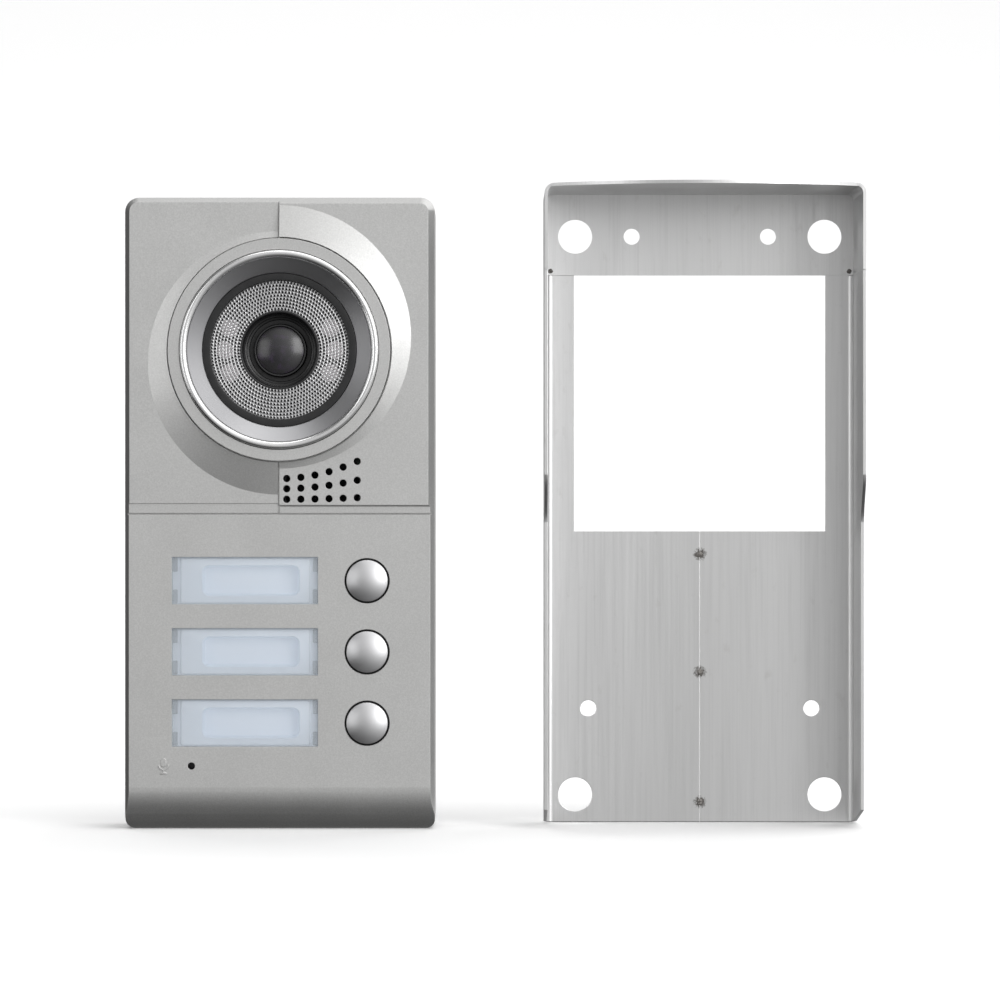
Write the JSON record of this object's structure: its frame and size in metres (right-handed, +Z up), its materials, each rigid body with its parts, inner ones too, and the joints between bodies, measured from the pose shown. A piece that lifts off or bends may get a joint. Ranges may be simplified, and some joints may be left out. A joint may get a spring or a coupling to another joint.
{
  "type": "door intercom panel",
  "caption": "Silver outdoor door intercom panel with a camera, speaker, lit name windows and call buttons, beside its folded stainless rain hood.",
  "frame": {"origin": "on the wall plane, at the centre of the panel's four rear bosses", "axes": "+X to a visitor's right, +Y into the wall, +Z up"},
  "size_m": [0.2334, 0.059, 0.2035],
  "materials": {
    "silver_paint": "metallic silver paint on a die-cast shell",
    "bezel_chrome": "satin chrome",
    "button_chrome": "satin chrome, domed",
    "stainless": "vertically brushed stainless sheet",
    "weld_metal": "rough spot weld",
    "black_plastic": "black moulded plastic",
    "cover_plastic": "dark grey textured moulded plastic",
    "mesh_metal": "finely perforated sheet",
    "clear_plastic": "clear polycarbonate",
    "milky_plastic": "milky light-guide plastic",
    "lens_glass": "coated lens glass",
    "lamp_epoxy": "clear epoxy lamp",
    "circuit_board": "green solder mask",
    "chip_epoxy": "black epoxy",
    "lamp_chip": "white lamp chip",
    "ribbon": "flat cable",
    "screw_steel": "zinc-plated steel",
    "spring_steel": "spring wire",
    "seal_rubber": "black rubber",
    "foam": "black foam",
    "pressed_steel": "pressed steel",
    "paper_cone": "coated paper",
    "terminal_plastic": "green terminal housing"
  },
  "bodies": {
    "panel": {"front_housing": "silver_paint", "camera_bezel": "bezel_chrome", "lamp_ring": "black_plastic", "lamp_mesh": "mesh_metal", "camera_shroud": "black_plastic", "lens_barrel": "black_plastic", "lens_glass": "lens_glass", "lens_holder": "black_plastic", "image_sensor": "chip_epoxy", "camera_board": "circuit_board", "camera_board_screws": "screw_steel", "infrared_board": "circuit_board", "infrared_lamps": "lamp_epoxy", "name_window_top": "clear_plastic", "name_window_middle": "clear_plastic", "name_window_bottom": "clear_plastic", "name_tray_top": "milky_plastic", "name_tray_middle": "milky_plastic", "name_tray_bottom": "milky_plastic", "button_spring_top": "spring_steel", "button_spring_middle": "spring_steel", "button_spring_bottom": "spring_steel", "button_carrier": "black_plastic", "tact_switches": "black_plastic", "main_board": "circuit_board", "main_board_screws": "screw_steel", "main_processor": "chip_epoxy", "backlight_lamps": "lamp_chip", "ribbon_cable": "ribbon", "speaker_gasket": "foam", "speaker_basket": "pressed_steel", "speaker_cone": "paper_cone", "speaker_magnet": "pressed_steel", "microphone_capsule": "pressed_steel", "microphone_boot": "seal_rubber", "rear_cover": "cover_plastic", "case_screws": "screw_steel", "housing_seal": "seal_rubber", "terminal_block": "terminal_plastic", "terminal_screws": "screw_steel"},
    "top_button": {"call_button_top": "button_chrome"},
    "middle_button": {"call_button_middle": "button_chrome"},
    "bottom_button": {"call_button_bottom": "button_chrome"},
    "hood": {"hood_left_half": "stainless", "hood_right_half": "stainless", "hood_cap": "stainless", "hood_welds": "weld_metal"}
  },
  "joints": [
    {"name": "top_button_press", "type": "slide", "parent": "panel", "child": "top_button", "axis": [0, 1, 0], "range_m": [0, 0.001], "stiffness_N_per_m": 600, "springref_m": -0.002, "deforming": ["button_spring_top"]},
    {"name": "middle_button_press", "type": "slide", "parent": "panel", "child": "middle_button", "axis": [0, 1, 0], "range_m": [0, 0.001], "stiffness_N_per_m": 600, "springref_m": -0.002, "deforming": ["button_spring_middle"]},
    {"name": "bottom_button_press", "type": "slide", "parent": "panel", "child": "bottom_button", "axis": [0, 1, 0], "range_m": [0, 0.001], "stiffness_N_per_m": 600, "springref_m": -0.002, "deforming": ["button_spring_bottom"]},
    {"name": "hood_lift", "type": "slide", "parent": "panel", "child": "hood", "axis": [0, 0, 1], "range_m": [0, 0.25]}
  ]
}
